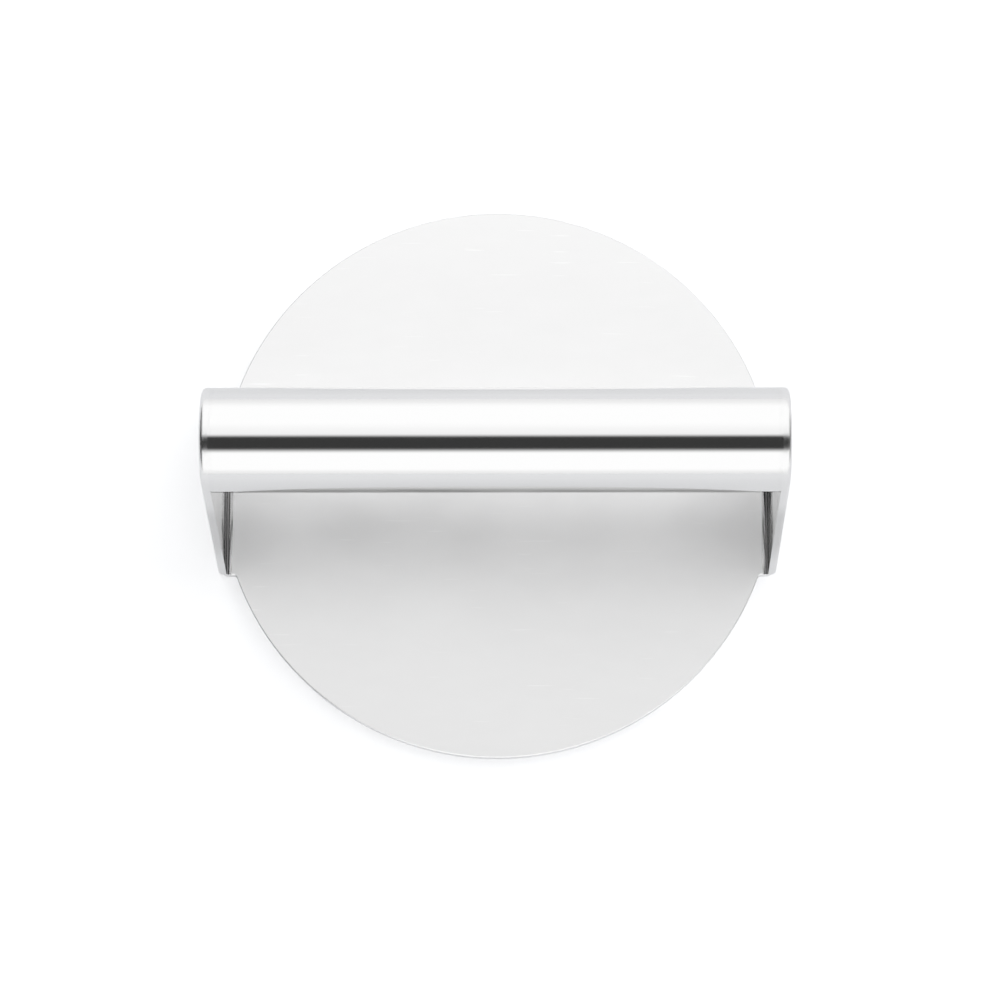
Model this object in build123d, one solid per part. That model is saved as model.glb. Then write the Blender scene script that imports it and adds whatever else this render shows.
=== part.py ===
"""Smash burger press in stainless steel.

A thin round plate presses the patty. A tube lies across it as the handle, and two flat legs carry
the tube at its ends. The legs are welded to the tube and to the plate, and nothing moves.

Frame: millimetres, +Z up, +X along the handle. The origin is the middle of the working face, which
is the underside of the plate. The right side is modelled, and its pieces are mirrored for the left.
"""
import os
from math import acos, atan2, cos, hypot, isclose, sin

from build123d import *

# Plate
PLATE_DIAMETER = 152.0
PLATE_THICKNESS = 4.0
PLATE_TOP_CHAMFER = 0.25
PLATE_BOTTOM_ROUND = 0.3
SEAT_REACH = 0.3
SEAT_BLEND = 1.0
SEAT_CORNER_ROUND = 3.0
SEAT_OUTER_ROUND = 3.0

# Handle tube and the free height under it for the fingers
TUBE_DIAMETER = 27.4
TUBE_WALL = 1.5
FINGER_GAP = 44.8

# Legs
LEG_THICKNESS = 2.3
FOOT_WIDTH = 51.5
LEG_EDGE_ROUND = 1.3

# Welds
GROOVE_DEPTH = 1.0
FOOT_WELD_SIZE = 1.5
FOOT_WELD_HOLLOW_RADIUS = 1.7

# Places that follow from the sizes above
plate_radius = PLATE_DIAMETER / 2
tube_radius = TUBE_DIAMETER / 2
tube_axis_height = PLATE_THICKNESS + FINGER_GAP + tube_radius
leg_outer_x = plate_radius + SEAT_REACH
leg_inner_x = leg_outer_x - LEG_THICKNESS
foot_half_width = FOOT_WIDTH / 2


def plate_outline():
    """The disc with a seat on each side, as wide as the foot of the leg that stands on it."""
    seats = RectangleRounded(2 * leg_outer_x, FOOT_WIDTH, SEAT_CORNER_ROUND)
    outline = Circle(plate_radius) + seats
    inner_corners = outline.vertices().filter_by(
        lambda v: isclose(abs(v.Y), foot_half_width) and isclose(hypot(v.X, v.Y), plate_radius))
    return fillet(inner_corners, SEAT_BLEND)


def make_seat_rounding():
    """The room that the plate keeps to, seen from the front: round at the bottom left and right."""
    room = Rectangle(2 * leg_outer_x, PLATE_THICKNESS, align=(Align.CENTER, Align.MIN))
    room = fillet(room.vertices().group_by(Axis.Y)[0], SEAT_OUTER_ROUND)
    return extrude(Plane.XZ * room, plate_radius, both=True)


def make_base_plate():
    """The pressing plate, with its edges broken and the underside of its seats rounded off."""
    plate = extrude(plate_outline(), PLATE_THICKNESS)
    plate = chamfer(plate.faces().sort_by(Axis.Z)[-1].outer_wire().edges(), PLATE_TOP_CHAMFER)
    plate = fillet(plate.faces().sort_by(Axis.Z)[0].outer_wire().edges(), PLATE_BOTTOM_ROUND)
    return plate & make_seat_rounding()


def leg_profile():
    """The leg seen along the handle: round at the tube, with straight sides that widen to the foot."""
    foot_drop = tube_axis_height - PLATE_THICKNESS
    reach = hypot(foot_half_width, foot_drop)
    tangent_angle = acos(tube_radius / reach) - atan2(foot_drop, foot_half_width)
    tangent_y = tube_radius * cos(tangent_angle)
    tangent_z = tube_axis_height + tube_radius * sin(tangent_angle)
    crown = ThreePointArc(
        (tangent_y, tangent_z), (0, tube_axis_height + tube_radius), (-tangent_y, tangent_z))
    sides_and_foot = Polyline(
        (-tangent_y, tangent_z),
        (-foot_half_width, PLATE_THICKNESS),
        (foot_half_width, PLATE_THICKNESS),
        (tangent_y, tangent_z))
    return make_face([crown, *sides_and_foot.edges()])


def make_foot_groove():
    """The room for the right seam weld, from the bevelled leg to the chamfered edge of its seat."""
    bottom = PLATE_THICKNESS - PLATE_TOP_CHAMFER
    section = Plane.XZ * make_face(Polyline(
        (leg_outer_x, bottom),
        (leg_outer_x, PLATE_THICKNESS + GROOVE_DEPTH),
        (leg_outer_x - GROOVE_DEPTH, PLATE_THICKNESS),
        (leg_outer_x - GROOVE_DEPTH, bottom),
        close=True))
    return extrude(section, foot_half_width - SEAT_CORNER_ROUND, both=True)


def make_seam_weld(plate):
    """The weld along the outside of the right foot, ground flush with the leg and the plate."""
    return make_foot_groove() - plate


def make_leg():
    """The right leg, a flat plate with a rounded outer rim and a bevel for the seam weld."""
    blank = extrude(Plane.YZ.offset(leg_inner_x) * leg_profile(), LEG_THICKNESS)
    outer_face = blank.faces().sort_by(Axis.X)[-1]
    rim = outer_face.edges().sort_by(Axis.Z)[1:]
    return fillet(rim, LEG_EDGE_ROUND) - make_foot_groove()


def make_foot_weld():
    """The hollow fillet weld in the corner between the plate and the inside of the right leg."""
    corner = (leg_inner_x, PLATE_THICKNESS)
    top = (leg_inner_x, PLATE_THICKNESS + FOOT_WELD_SIZE)
    toe = (leg_inner_x - FOOT_WELD_SIZE, PLATE_THICKNESS)
    hollow = RadiusArc(toe, top, -FOOT_WELD_HOLLOW_RADIUS)
    section = Plane.XZ * make_face([hollow, *Polyline(top, corner, toe).edges()])
    return extrude(section, foot_half_width, both=True)


def make_handle_tube():
    """The hollow handle between the two legs, bevelled round both ends for its welds."""
    section = Circle(tube_radius) - Circle(tube_radius - TUBE_WALL)
    tube = extrude(Plane.YZ * Pos(0, tube_axis_height) * section, leg_inner_x, both=True)
    outer_ends = tube.edges().filter_by(
        lambda e: e.geom_type == GeomType.CIRCLE and isclose(e.radius, tube_radius))
    return chamfer(outer_ends, GROOVE_DEPTH)


def make_tube_weld(tube):
    """The ring weld that fills the bevel at the right end of the tube, ground flush."""
    ring = Circle(tube_radius) - Circle(tube_radius - GROOVE_DEPTH)
    start = Plane.YZ.offset(leg_inner_x - GROOVE_DEPTH)
    return extrude(start * Pos(0, tube_axis_height) * ring, GROOVE_DEPTH) - tube


def main():
    plate = make_base_plate()
    tube = make_handle_tube()
    right_pieces = {
        "leg": make_leg(),
        "foot_weld": make_foot_weld(),
        "seam_weld": make_seam_weld(plate),
        "tube_weld": make_tube_weld(tube),
    }
    nodes = {"base_plate": plate, "handle_tube": tube}
    for name, piece in right_pieces.items():
        nodes["right_" + name] = piece
        nodes["left_" + name] = mirror(piece, about=Plane.YZ)

    os.makedirs("parts", exist_ok=True)
    for name, piece in nodes.items():
        export_step(piece, f"parts/{name}.step")


main()
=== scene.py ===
"""Looks of the smash burger press, put on its CAD model.

Every piece of the press is stainless steel, so each keeps its CAD mesh and gets the finish of the
real one: a brushed sheet, a polished tube and legs, and welds that are ground hollow or flush.
The press lies on a white floor, in a studio of long white panels with a dark gap overhead.
"""

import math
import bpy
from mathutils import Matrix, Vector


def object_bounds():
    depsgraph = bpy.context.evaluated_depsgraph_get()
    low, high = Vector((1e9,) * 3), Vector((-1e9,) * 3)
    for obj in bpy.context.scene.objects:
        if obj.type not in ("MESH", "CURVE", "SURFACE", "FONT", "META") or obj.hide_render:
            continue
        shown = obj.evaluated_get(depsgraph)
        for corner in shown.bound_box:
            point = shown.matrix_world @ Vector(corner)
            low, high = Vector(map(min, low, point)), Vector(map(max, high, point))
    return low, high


bl_info = {
    "name": "Smash burger press looks",
    "version": (1, 0, 0),
    "blender": (4, 5, 0),
    "location": "3D View > Sidebar > Burger press",
    "description": "Finishes, floor, studio light and camera for the smash burger press",
    "category": "Object",
}

import bpy
from mathutils import Matrix, Vector

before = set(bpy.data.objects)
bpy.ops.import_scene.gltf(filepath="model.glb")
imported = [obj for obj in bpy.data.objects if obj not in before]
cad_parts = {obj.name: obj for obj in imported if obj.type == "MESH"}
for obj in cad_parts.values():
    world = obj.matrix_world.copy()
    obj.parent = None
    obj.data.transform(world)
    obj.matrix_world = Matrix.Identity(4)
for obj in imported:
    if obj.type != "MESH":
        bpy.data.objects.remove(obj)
cad_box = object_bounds()

MM = 0.001
X_AXIS, Y_AXIS, Z_AXIS = range(3)
WHITE = (1, 1, 1, 1)

# A noise factor mostly stays between these two values.
NOISE_LOW, NOISE_HIGH = 0.3, 0.7

# Only the few highest peaks of the scratch noise become scratches: they start to show at the first
# value and are full at the second.
SCRATCH_START, SCRATCH_FULL = 0.78, 0.86


def linear_rgb(hex_color):
    """The linear colour of an sRGB hex value such as E6E6E4."""
    levels = (int(hex_color[i:i + 2], 16) / 255 for i in (0, 2, 4))
    return [c / 12.92 if c <= 0.04045 else ((c + 0.055) / 1.055) ** 2.4 for c in levels]


def color_property(name, description, hex_color):
    """A colour, written as sRGB hex."""
    return bpy.props.FloatVectorProperty(
        name=name, description=description, subtype="COLOR", size=3, min=0, max=1,
        default=linear_rgb(hex_color))


def length_property(name, description, default):
    """A length in metres."""
    return bpy.props.FloatProperty(
        name=name, description=description, unit="LENGTH", min=0, default=default, precision=5)


def angle_property(name, description, degrees):
    """An angle, written in degrees."""
    return bpy.props.FloatProperty(
        name=name, description=description, subtype="ANGLE", default=math.radians(degrees))


def share_property(name, description, default):
    """A share from 0 to 1."""
    return bpy.props.FloatProperty(
        name=name, description=description, subtype="FACTOR", min=0, max=1, default=default)


def light_property(name, description, default):
    """A brightness, where 1 shows as white."""
    return bpy.props.FloatProperty(name=name, description=description, min=0, default=default)


class PressFinishes(bpy.types.PropertyGroup):
    """Colours, roughness and tool marks of the steel, and the painted shade on the legs.

    Brush marks, scratches and polishing lines are finer on the real press and wouldn't show in the
    render, so they are drawn as coarse as they need to be.
    """

    sheet_color: color_property("Sheet", "Colour of the brushed base plate", "F7F7F7")
    sheet_roughness: share_property(
        "Sheet roughness", "How far the brushing spreads a reflection", 0.38)
    sheet_anisotropy: share_property(
        "Sheet grain", "How much further it spreads across the grain than along it", 0.3)
    brush_spacing: length_property(
        "Brush spacing", "Distance between brush marks on the plate", 0.7 * MM)
    brush_length: length_property("Brush length", "Length of a brush mark on the plate", 14 * MM)
    stain_width: length_property(
        "Stain width", "Width of the faint cloudy patches on the plate, across the grain", 18 * MM)
    stain_length: length_property(
        "Stain length", "Length of the cloudy patches, along the grain", 28.8 * MM)
    scratch_width: length_property(
        "Scratch width", "Width of the stray light scratches on the plate", 0.7 * MM)
    scratch_length: length_property(
        "Scratch length", "Length of the stray light scratches on the plate", 12 * MM)
    scratch_gain: share_property(
        "Scratch gain", "How much brighter a scratch is than the plate", 0.06)

    tube_color: color_property("Tube", "Colour of the polished handle tube", "E2E2E2")
    tube_roughness: share_property("Tube roughness", "Roughness of the polished tube", 0.09)
    polish_spacing: length_property(
        "Polish spacing", "Distance between polishing lines on the tube and the legs", 0.25 * MM)
    tube_line_length: length_property(
        "Tube line length", "Length of a polishing line along the tube", 28 * MM)

    leg_color: color_property("Legs", "Colour of the polished legs", "E4E4E4")
    leg_roughness: share_property("Leg roughness", "Roughness of the polished legs", 0.06)
    leg_line_length: length_property(
        "Leg line length", "Length of a polishing line down a leg", 14 * MM)
    leg_anisotropy: share_property(
        "Leg grain", "How much further the legs spread a reflection sideways than up", 0.8)
    # The leg shade is painted shade in the legs' colour, darkest halfway up and gone at foot and
    # crown.
    leg_shade: share_property(
        "Leg shade", "How much darker a leg is halfway up than at its foot and crown", 0.22)
    shade_start: length_property("Shade start", "Height where a leg starts to darken", 10 * MM)
    shade_full: length_property("Shade full", "Height above which a leg is darkest", 28 * MM)
    crown_roughness: share_property(
        "Crown roughness", "Roughness round the top of a leg, where a belt blended it in", 0.25)
    crown_start: length_property("Crown start", "Height where the belt marks begin", 44 * MM)
    crown_full: length_property(
        "Crown full", "Height above which the belt has taken all the polish", 56 * MM)

    weld_color: color_property("Foot welds", "Colour of the hollow foot welds", "C8C8C8")
    fillet_roughness: share_property(
        "Foot weld roughness", "Roughness of the hollow foot welds", 0.08)
    flush_color: color_property("Flush welds", "Colour of the welds ground flush", "E2E2E2")
    flush_roughness: share_property(
        "Flush weld roughness", "Roughness of the welds ground flush", 0.1)
    weld_mark_spacing: length_property(
        "Weld mark spacing", "Distance between grinding marks on a weld", 0.375 * MM)
    weld_mark_length: length_property(
        "Weld mark length", "Length of a grinding mark on a weld", 4 * MM)


class PressStudio(bpy.types.PropertyGroup):
    """Floor, light and camera.

    The panels are brighter than 1, because the plate mirrors the dark gap along with them and is
    still nearly white in the photograph.
    """

    floor_color: color_property("Floor", "Colour of the floor", "F7F8FA")
    floor_radius: length_property("Floor radius", "Radius of the round floor", 6.0)
    floor_drop: length_property(
        "Floor drop", "How far the floor lies under the working face", 0.1 * MM)
    floor_glow_seen: light_property(
        "Floor glow seen", "What the camera sees added to the lit floor, to make it white", 0.38)
    # Less reflected glow beside the press than far from it is a painted shade round the press, as
    # the steel mirrors the floor.
    floor_glow_near: light_property(
        "Floor glow near", "What the steel sees added to the lit floor beside the press", 0.18)
    floor_glow_far: light_property(
        "Floor glow far", "What the steel sees added to the lit floor far from the press", 0.25)
    glow_start: length_property(
        "Glow start", "Distance from the middle where the reflected glow starts to grow", 85 * MM)
    glow_full: length_property(
        "Glow full", "Distance from the middle where the reflected glow is full", 300 * MM)

    panel_strength: light_property("Panels", "Brightness of the two long white panels", 1.3)
    shoulder_strength: light_property(
        "Shoulder", "Brightness of the back panel beside the gap", 1.17)
    horizon_strength: light_property(
        "Horizon", "Brightness of the panels where they meet the floor", 1.06)
    gap_strength: light_property("Gap", "Brightness of the dark gap between the panels", 0.049)
    left_strength: light_property(
        "Left side", "Brightness of the studio past the left end of the panels", 0.03)
    right_strength: light_property(
        "Right side", "Brightness of the studio past the right end of the panels", 0.18)
    gap_front: angle_property(
        "Gap front", "Front edge of the gap, from straight up towards the front", 34.5)
    gap_back: angle_property(
        "Gap back", "Back edge of the gap, from straight up towards the front", 1.9)
    gap_front_softness: angle_property(
        "Gap front softness", "Width of the soft edge in front of the gap", 13.0)
    gap_back_softness: angle_property(
        "Gap back softness", "Width of the soft edge behind the gap", 9.0)
    shoulder_width: angle_property(
        "Shoulder width", "Angle over which the back panel dims to the gap", 32.0)
    back_fade: angle_property(
        "Back fade", "Height over which the back panel fades to the horizon", 26.0)
    front_fade: angle_property(
        "Front fade", "Height over which the front panel fades to the horizon", 14.0)
    panel_left: angle_property(
        "Left end", "Where the panels end to the left, from straight up", 38.0)
    panel_right: angle_property(
        "Right end", "Where the panels end to the right, from straight up", 55.0)
    panel_end_softness: angle_property(
        "Panel end softness", "Width of the soft end of the panels", 24.0)

    lens: bpy.props.FloatProperty(
        name="Lens", description="Focal length on the 36 mm sensor", unit="CAMERA", min=1,
        default=144.5)
    distance: length_property("Distance", "From the aim point to the camera", 1105.0 * MM)
    azimuth: angle_property("Azimuth", "How far round to the right the camera stands", 2.178)
    elevation: angle_property("Elevation", "How high the camera stands above the floor", 79.455)
    roll: angle_property("Roll", "How far the camera leans", -2.183)
    aim: bpy.props.FloatVectorProperty(
        name="Aim", description="The point that the camera looks at", subtype="TRANSLATION",
        unit="LENGTH", size=3, default=(0.71 * MM, -4.25 * MM, 0), precision=5)


def add_node(tree, kind, inputs=None, **settings):
    """Adds a node, sets its settings, and gives each named input a value or a node's output."""
    node = tree.nodes.new(kind)
    for name, value in settings.items():
        setattr(node, name, value)
    for name, value in (inputs or {}).items():
        if isinstance(value, bpy.types.NodeSocket):
            tree.links.new(value, node.inputs[name])
        else:
            node.inputs[name].default_value = value
    return node


def calculate(tree, operation, *values):
    """The result of a Math node on numbers and node outputs."""
    node = add_node(tree, "ShaderNodeMath", dict(enumerate(values)), operation=operation)
    return node.outputs["Value"]


def new_material(name):
    """An empty node material and its tree."""
    material = bpy.data.materials.new(name)
    material.use_nodes = True
    material.node_tree.nodes.clear()
    return material, material.node_tree


def object_place(tree):
    """The place of the shaded point on its object, in metres."""
    return add_node(tree, "ShaderNodeTexCoord").outputs["Object"]


def stretched_noise(tree, spacing, length_axis, length, detail=2.0):
    """Noise whose marks lie along one axis of the object: length long and spacing apart."""
    scale = [1 / spacing] * 3
    scale[length_axis] = 1 / length
    stretched = add_node(tree, "ShaderNodeMapping", {"Vector": object_place(tree), "Scale": scale})
    noise = add_node(tree, "ShaderNodeTexNoise", {
        "Vector": stretched.outputs["Vector"], "Scale": 1.0, "Detail": detail, "Roughness": 0.6})
    return noise.outputs["Fac"]


def spread(tree, value, low, high, start=NOISE_LOW, end=NOISE_HIGH, blend="LINEAR"):
    """Turns a value that runs from start to end into one that runs from low to high."""
    return add_node(tree, "ShaderNodeMapRange", {
        "Value": value, "From Min": start, "From Max": end, "To Min": low, "To Max": high,
    }, interpolation_type=blend).outputs["Result"]


def vary(tree, factor, middle, swing):
    """Turns a noise factor into a value that swings both ways from a middle one."""
    return spread(tree, factor, middle - swing, middle + swing)


def ramp(tree, value, stops):
    """Blends softly from stop to stop, each a value and the brightness there."""
    low, high = stops[0][0], stops[-1][0]
    share = spread(tree, value, 0.0, 1.0, start=low, end=high)
    blend = add_node(tree, "ShaderNodeValToRGB", {"Fac": share})
    blend.color_ramp.interpolation = "EASE"
    for place, _ in stops[1:-1]:
        blend.color_ramp.elements.new((place - low) / (high - low))
    for element, (_, brightness) in zip(blend.color_ramp.elements, stops):
        element.color = (brightness, brightness, brightness, 1)
    return blend.outputs["Color"]


def scaled_color(tree, color, scale):
    """A colour, or a node's colour output, made darker or lighter."""
    node = add_node(
        tree, "ShaderNodeVectorMath", {0: color, "Scale": scale}, operation="SCALE")
    return node.outputs["Vector"]


def tint(tree, color, factor, darkest, lightest):
    """The colour, made darker or lighter by a noise factor."""
    return scaled_color(tree, color[:3], spread(tree, factor, darkest, lightest))


def bump(tree, height, strength, depth):
    """The normal of a surface that is roughened by marks of this depth."""
    node = add_node(tree, "ShaderNodeBump", {
        "Height": height, "Strength": strength, "Distance": depth})
    return node.outputs["Normal"]


def along(tree, axis):
    """The direction of one axis, for the grain of a metal."""
    node = add_node(tree, "ShaderNodeCombineXYZ", {"XYZ"[axis]: 1.0})
    return node.outputs["Vector"]


def finish_shader(tree, color, roughness, normal, **more):
    """The metal itself, at the tree's output."""
    inputs = {"Base Color": color, "Metallic": 1.0, "Roughness": roughness, "Normal": normal}
    inputs.update(more)
    metal = add_node(tree, "ShaderNodeBsdfPrincipled", inputs)
    add_node(tree, "ShaderNodeOutputMaterial", {"Surface": metal.outputs["BSDF"]})


def brushed_stainless_sheet(look):
    """Cold-rolled sheet with a fine brushing.

    The eye gets a soft reflection, drawn out across the grain, under faint clouds and a few stray
    scratches.
    """
    material, tree = new_material("brushed_stainless_sheet")
    grain = stretched_noise(tree, look.brush_spacing, X_AXIS, look.brush_length, detail=3.0)
    clouds = stretched_noise(tree, look.stain_width, X_AXIS, look.stain_length, detail=1.5)
    marks = stretched_noise(tree, look.scratch_width, X_AXIS, look.scratch_length, detail=0.0)
    scratches = spread(
        tree, marks, 1.0, 1 + look.scratch_gain, start=SCRATCH_START, end=SCRATCH_FULL)
    clouded = tint(tree, look.sheet_color, clouds, darkest=0.93, lightest=1.02)
    roughness = calculate(
        tree, "ADD", vary(tree, grain, 0.0, swing=0.01),
        vary(tree, clouds, look.sheet_roughness, swing=0.04))
    finish_shader(
        tree, scaled_color(tree, clouded, scratches), roughness,
        bump(tree, grain, strength=0.12, depth=0.002 * MM),
        Anisotropic=look.sheet_anisotropy, Tangent=along(tree, Y_AXIS))
    return material


def polished_stainless_tube(look):
    """Welded tube, polished along its length.

    The eye gets a near mirror, with hair-fine lines that follow the tube.
    """
    material, tree = new_material("polished_stainless_tube")
    lines = stretched_noise(tree, look.polish_spacing, X_AXIS, look.tube_line_length)
    finish_shader(
        tree, tint(tree, look.tube_color, lines, darkest=0.995, lightest=1.005),
        vary(tree, lines, look.tube_roughness, swing=0.01),
        bump(tree, lines, strength=0.05, depth=0.001 * MM))
    return material


def polished_stainless_leg(look):
    """Cut sheet, polished on both faces and belt-ground round the top.

    The eye gets a clear reflection with lines down the leg, duller round the crown, with painted
    shade halfway up.
    """
    material, tree = new_material("polished_stainless_leg")
    lines = stretched_noise(tree, look.polish_spacing, Z_AXIS, look.leg_line_length)
    height = add_node(
        tree, "ShaderNodeSeparateXYZ", {"Vector": object_place(tree)}).outputs["Z"]
    belt_marks = spread(
        tree, height, 0.0, look.crown_roughness - look.leg_roughness,
        start=look.crown_start, end=look.crown_full, blend="SMOOTHSTEP")
    polish = vary(tree, lines, look.leg_roughness, swing=0.02)
    # Painted shade, not in the steel: it stands for a darker reflection this studio doesn't give.
    darkest = 1 - look.leg_shade
    shade = ramp(tree, height, (
        (look.shade_start, 1.0), (look.shade_full, darkest),
        (look.crown_start, darkest), (look.crown_full, 1.0)))
    lined = tint(tree, look.leg_color, lines, darkest=0.99, lightest=1.01)
    color = add_node(tree, "ShaderNodeVectorMath", {0: lined, 1: shade}, operation="MULTIPLY")
    finish_shader(
        tree, color.outputs["Vector"], calculate(tree, "ADD", belt_marks, polish),
        bump(tree, lines, strength=0.08, depth=0.001 * MM),
        Anisotropic=look.leg_anisotropy, Tangent=along(tree, X_AXIS))
    return material


def weld_metal(look, name, color, roughness):
    """Weld metal, dressed with a grinder.

    The eye gets a polished bead or seam with short marks, coarser than those on the legs.
    """
    material, tree = new_material(name)
    marks = stretched_noise(
        tree, look.weld_mark_spacing, Y_AXIS, look.weld_mark_length, detail=3.0)
    finish_shader(
        tree, tint(tree, color, marks, darkest=0.96, lightest=1.02),
        vary(tree, marks, roughness, swing=0.03),
        bump(tree, marks, strength=0.15, depth=0.002 * MM))
    return material


def put_on(material, *nodes):
    """Gives CAD nodes a material in place of their plain one."""
    for name in nodes:
        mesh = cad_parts[name].data
        mesh.materials.clear()
        mesh.materials.append(material)


class PRESS_OT_base_plate(bpy.types.Operator):
    """Finish the base plate as brushed stainless sheet"""

    bl_idname = "press.base_plate"
    bl_label = "Base plate"

    def execute(self, context):
        put_on(brushed_stainless_sheet(context.scene.press_finishes), "base_plate")
        return {"FINISHED"}


class PRESS_OT_handle_tube(bpy.types.Operator):
    """Finish the handle as polished stainless tube"""

    bl_idname = "press.handle_tube"
    bl_label = "Handle tube"

    def execute(self, context):
        put_on(polished_stainless_tube(context.scene.press_finishes), "handle_tube")
        return {"FINISHED"}


class PRESS_OT_legs(bpy.types.Operator):
    """Finish the two legs as polished stainless sheet"""

    bl_idname = "press.legs"
    bl_label = "Legs"

    def execute(self, context):
        put_on(polished_stainless_leg(context.scene.press_finishes), "left_leg", "right_leg")
        return {"FINISHED"}


class PRESS_OT_foot_welds(bpy.types.Operator):
    """Finish the hollow fillet welds inside the feet"""

    bl_idname = "press.foot_welds"
    bl_label = "Foot welds"

    def execute(self, context):
        look = context.scene.press_finishes
        metal = weld_metal(look, "hollow_ground_weld", look.weld_color, look.fillet_roughness)
        put_on(metal, "left_foot_weld", "right_foot_weld")
        return {"FINISHED"}


class PRESS_OT_flush_welds(bpy.types.Operator):
    """Finish the welds that are ground flush with the tube, the legs and the plate"""

    bl_idname = "press.flush_welds"
    bl_label = "Flush welds"

    def execute(self, context):
        look = context.scene.press_finishes
        metal = weld_metal(look, "flush_ground_weld", look.flush_color, look.flush_roughness)
        put_on(metal, "left_seam_weld", "right_seam_weld", "left_tube_weld", "right_tube_weld")
        return {"FINISHED"}


def is_ray(tree, *kinds):
    """1 for the named kinds of ray and 0 for the others."""
    path = add_node(tree, "ShaderNodeLightPath")
    seen = path.outputs[kinds[0]]
    for kind in kinds[1:]:
        seen = calculate(tree, "MAXIMUM", seen, path.outputs[kind])
    return seen


def floor_material(studio):
    """Matt white card that keeps the shadow of the press.

    The eye gets white, both on the card and where the steel mirrors it. From beneath the card is
    clear, and it isn't mirrored in what is seen through it.
    """
    material, tree = new_material("matt_white_card")
    card = add_node(
        tree, "ShaderNodeBsdfDiffuse", {"Color": (*studio.floor_color, 1.0), "Roughness": 0.0})
    away = add_node(
        tree, "ShaderNodeVectorMath", {0: object_place(tree)}, operation="LENGTH").outputs["Value"]
    # Painted shade: the glow that the steel mirrors is weaker beside the press than far from it.
    glow_by_distance = spread(
        tree, away, studio.floor_glow_near, studio.floor_glow_far,
        start=studio.glow_start, end=studio.glow_full)
    reflected = is_ray(tree, "Is Glossy Ray", "Is Transmission Ray")
    glow = calculate(
        tree, "MULTIPLY_ADD", is_ray(tree, "Is Camera Ray"), studio.floor_glow_seen,
        calculate(tree, "MULTIPLY", reflected, glow_by_distance))
    light = add_node(tree, "ShaderNodeEmission", {"Color": WHITE, "Strength": glow})
    lit_card = add_node(
        tree, "ShaderNodeAddShader", {0: card.outputs["BSDF"], 1: light.outputs["Emission"]})

    beneath = add_node(tree, "ShaderNodeNewGeometry").outputs["Backfacing"]
    come_through = add_node(tree, "ShaderNodeLightPath").outputs["Transparent Depth"]
    clear = add_node(tree, "ShaderNodeBsdfTransparent")
    surface = add_node(tree, "ShaderNodeMixShader", {
        0: calculate(tree, "MAXIMUM", beneath, come_through),
        1: lit_card.outputs["Shader"], 2: clear.outputs["BSDF"]})
    add_node(tree, "ShaderNodeOutputMaterial", {"Surface": surface.outputs["Shader"]})
    return material


def make_floor(studio):
    """A round floor, just under the working face."""
    sides = 96
    angles = [2 * math.pi * i / sides for i in range(sides)]
    ring = [(studio.floor_radius * math.cos(a), studio.floor_radius * math.sin(a), 0)
            for a in angles]
    mesh = bpy.data.meshes.new("floor")
    mesh.from_pydata(ring, [], [range(sides)])
    mesh.materials.append(floor_material(studio))
    floor = bpy.data.objects.new("floor", mesh)
    floor.location.z = cad_box[0].z - studio.floor_drop
    bpy.context.scene.collection.objects.link(floor)


def step(tree, value, edge, softness):
    """0 well below the edge and 1 well above it."""
    return spread(
        tree, value, 0.0, 1.0, start=edge - softness / 2, end=edge + softness / 2,
        blend="SMOOTHSTEP")


def make_studio_light(studio):
    """The surroundings: panels from front to back, with a gap overhead and dark sides."""
    world = bpy.data.worlds.new("studio")
    bpy.context.scene.world = world
    world.use_nodes = True
    tree = world.node_tree
    tree.nodes.clear()

    # The tilt of a direction is 0 straight up and grows towards the front.
    direction = add_node(tree, "ShaderNodeTexCoord").outputs["Generated"]
    part = add_node(tree, "ShaderNodeSeparateXYZ", {"Vector": direction})
    forward = calculate(tree, "MULTIPLY", part.outputs["Y"], -1.0)
    tilt = calculate(tree, "ARCTAN2", forward, part.outputs["Z"])
    horizon = math.pi / 2
    panels = ramp(tree, tilt, (
        (-horizon, studio.horizon_strength),
        (studio.back_fade - horizon, studio.panel_strength),
        (studio.gap_back - studio.shoulder_width, studio.panel_strength),
        (studio.gap_back - studio.gap_back_softness / 2, studio.shoulder_strength),
        (studio.gap_back + studio.gap_back_softness / 2, studio.gap_strength),
        (studio.gap_front - studio.gap_front_softness / 2, studio.gap_strength),
        (studio.gap_front + studio.gap_front_softness / 2, studio.panel_strength),
        (horizon - studio.front_fade, studio.panel_strength),
        (horizon, studio.horizon_strength)))

    # Its lean sideways is 0 over the middle and grows towards the right.
    sideways = calculate(tree, "ARCSINE", part.outputs["X"])
    inside_left = step(tree, sideways, -studio.panel_left, studio.panel_end_softness)
    past_right = step(tree, sideways, studio.panel_right, studio.panel_end_softness)
    with_left = spread(tree, inside_left, studio.left_strength, panels, start=0.0, end=1.0)
    brightness = spread(tree, past_right, with_left, studio.right_strength, start=0.0, end=1.0)

    lit = add_node(tree, "ShaderNodeBackground", {"Color": WHITE, "Strength": brightness})
    backdrop = add_node(tree, "ShaderNodeBackground", {"Color": WHITE, "Strength": 1.0})
    shown = add_node(tree, "ShaderNodeMixShader", {
        0: is_ray(tree, "Is Camera Ray"), 1: lit.outputs["Background"],
        2: backdrop.outputs["Background"]})
    add_node(tree, "ShaderNodeOutputWorld", {"Surface": shown.outputs["Shader"]})


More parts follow.
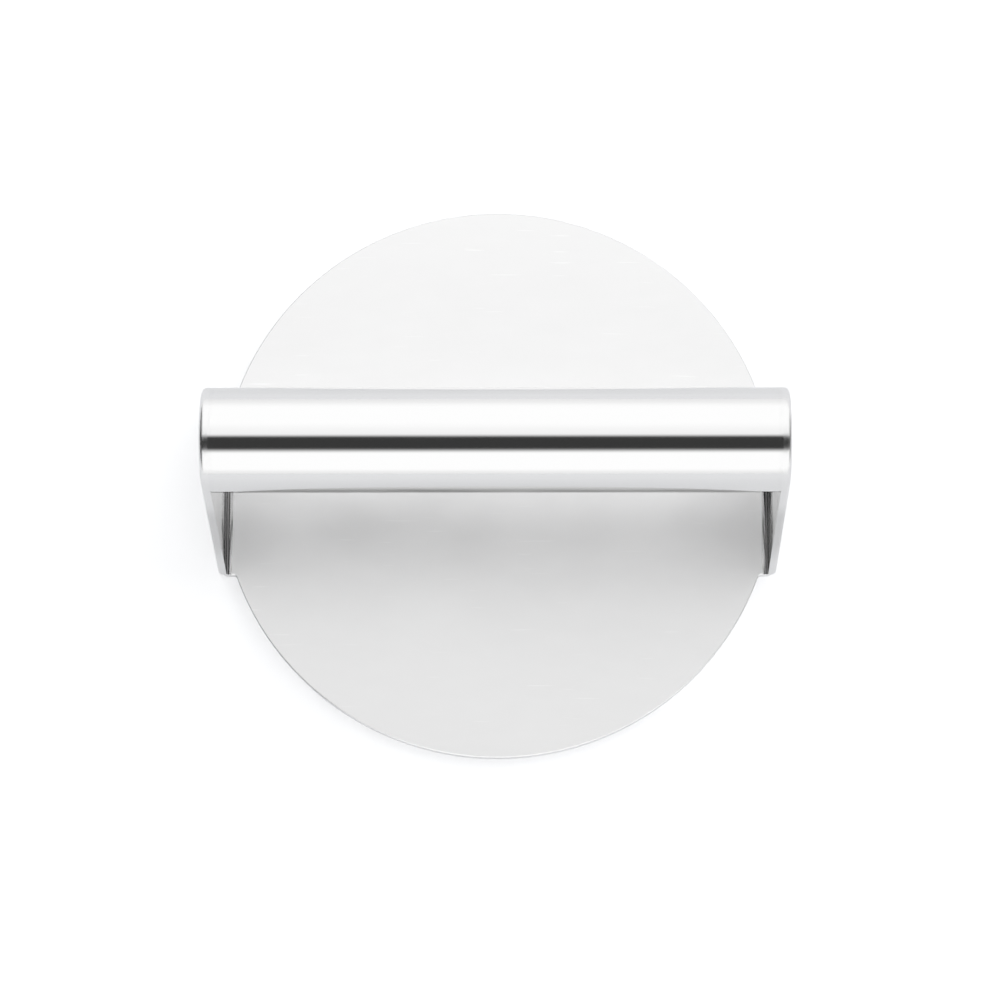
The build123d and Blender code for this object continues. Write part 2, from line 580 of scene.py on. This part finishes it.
def make_camera(studio):
    """The camera at the photograph's viewing angle, nearly overhead and leaning a little."""
    azimuth, elevation = studio.azimuth, studio.elevation
    back = Vector((
        math.sin(azimuth) * math.cos(elevation),
        -math.cos(azimuth) * math.cos(elevation),
        math.sin(elevation)))
    across = (-back).cross(Vector((0, 0, 1))).normalized()
    up = back.cross(across)
    right = across * math.cos(studio.roll) + up * math.sin(studio.roll)
    up = up * math.cos(studio.roll) - across * math.sin(studio.roll)
    camera = bpy.data.objects.new("camera", bpy.data.cameras.new("camera"))
    camera.data.lens = studio.lens
    camera.data.sensor_width = 36.0
    camera.data.clip_start = 0.01
    camera.data.clip_end = 20.0
    camera.matrix_world = (
        Matrix.Translation(Vector(studio.aim) + back * studio.distance)
        @ Matrix((right, up, back)).transposed().to_4x4())
    bpy.context.scene.collection.objects.link(camera)
    bpy.context.scene.camera = camera


class PRESS_OT_stage(bpy.types.Operator):
    """Make the camera, the white floor and the studio light"""

    bl_idname = "press.stage"
    bl_label = "Stage"

    def execute(self, context):
        studio = context.scene.press_studio
        make_camera(studio)
        make_floor(studio)
        make_studio_light(studio)
        context.scene.view_settings.view_transform = "Standard"
        return {"FINISHED"}


STEPS = (PRESS_OT_stage, PRESS_OT_base_plate, PRESS_OT_handle_tube, PRESS_OT_legs,
         PRESS_OT_foot_welds, PRESS_OT_flush_welds)


class PRESS_PT_sidebar(bpy.types.Panel):
    """The press's steps and settings"""

    bl_label = "Burger press"
    bl_idname = "PRESS_PT_sidebar"
    bl_space_type = "VIEW_3D"
    bl_region_type = "UI"
    bl_category = "Burger press"

    def draw(self, context):
        for step_class in STEPS:
            self.layout.operator(step_class.bl_idname)
        for group in (context.scene.press_finishes, context.scene.press_studio):
            box = self.layout.box()
            for name in group.__annotations__:
                box.prop(group, name)


CLASSES = (PressFinishes, PressStudio, *STEPS, PRESS_PT_sidebar)


def register():
    for cls in CLASSES:
        bpy.utils.register_class(cls)
    bpy.types.Scene.press_finishes = bpy.props.PointerProperty(type=PressFinishes)
    bpy.types.Scene.press_studio = bpy.props.PointerProperty(type=PressStudio)


def unregister():
    del bpy.types.Scene.press_studio
    del bpy.types.Scene.press_finishes
    for cls in reversed(CLASSES):
        bpy.utils.unregister_class(cls)


def main():
    register()
    for name in ("stage", "base_plate", "handle_tube", "legs", "foot_welds", "flush_welds"):
        getattr(bpy.ops.press, name)()


if __name__ == "__main__":
    main()
